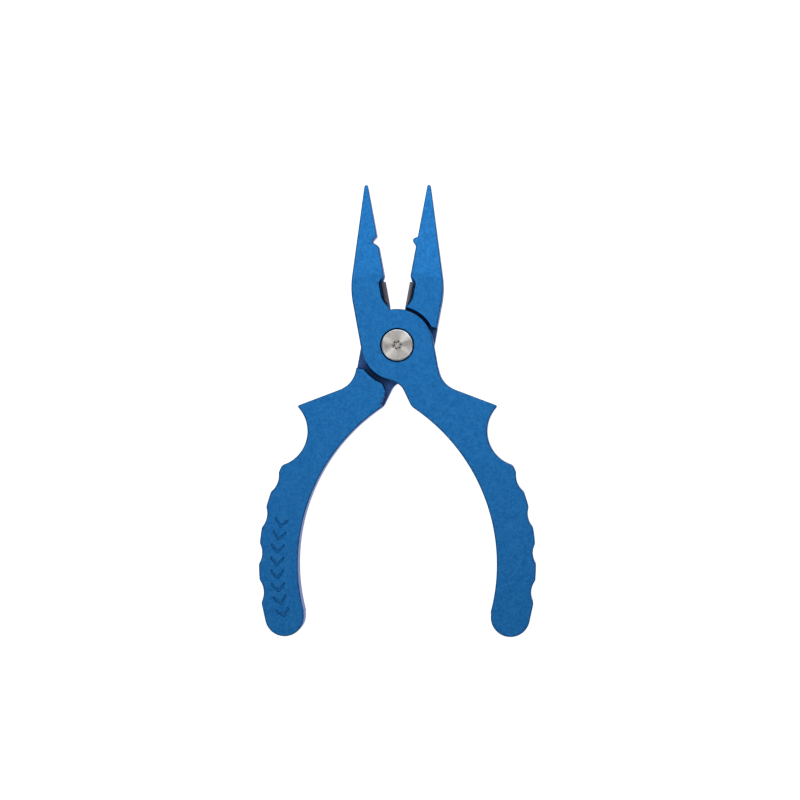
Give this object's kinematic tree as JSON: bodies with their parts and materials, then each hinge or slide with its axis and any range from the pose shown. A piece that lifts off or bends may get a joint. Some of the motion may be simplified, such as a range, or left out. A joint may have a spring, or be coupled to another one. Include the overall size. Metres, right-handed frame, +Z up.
{
  "type": "fishing pliers",
  "caption": "Compact aluminium fishing pliers with crossed halves, pointed jaws, cutting inserts, a crimping notch and curved finger-grip handles.",
  "frame": {"origin": "on the pivot axis, in the plane of the bottom faces that the pliers lie on", "axes": "+Y from the pivot to the jaw tips, +X to the right seen from above, +Z up through the thickness"},
  "size_m": [0.092, 0.15, 0.01],
  "materials": {
    "blue_anodised": "bead-blasted and blue anodised, satin",
    "cutter_steel": "dark ground carbide",
    "black_screws": "black oxide",
    "stainless": "turned and faced stainless steel",
    "bronze": "plain bearing bronze",
    "spring_steel": "drawn wire"
  },
  "bodies": {
    "lower_lever": {"lower_half": "blue_anodised", "right_cutter_insert": "cutter_steel", "right_cutter_screw_1": "black_screws", "right_cutter_screw_2": "black_screws", "pivot_screw": "stainless", "pivot_barrel_nut": "stainless", "head_washer": "stainless", "nut_washer": "stainless", "lower_bush": "bronze", "thrust_washer": "bronze", "opening_spring": "spring_steel", "stop_pin": "stainless"},
    "upper_lever": {"upper_half": "blue_anodised", "left_cutter_insert": "cutter_steel", "left_cutter_screw_1": "black_screws", "left_cutter_screw_2": "black_screws", "upper_bush": "bronze"}
  },
  "joints": [
    {"name": "pivot", "type": "hinge", "parent": "lower_lever", "child": "upper_lever", "pos_m": [0, 0, 0.005], "axis": [0, 0, 1], "range_deg": [-20.95, 0], "stiffness_Nm_per_rad": 0.5, "springref_deg": 17.19, "deforming": ["opening_spring"]}
  ]
}
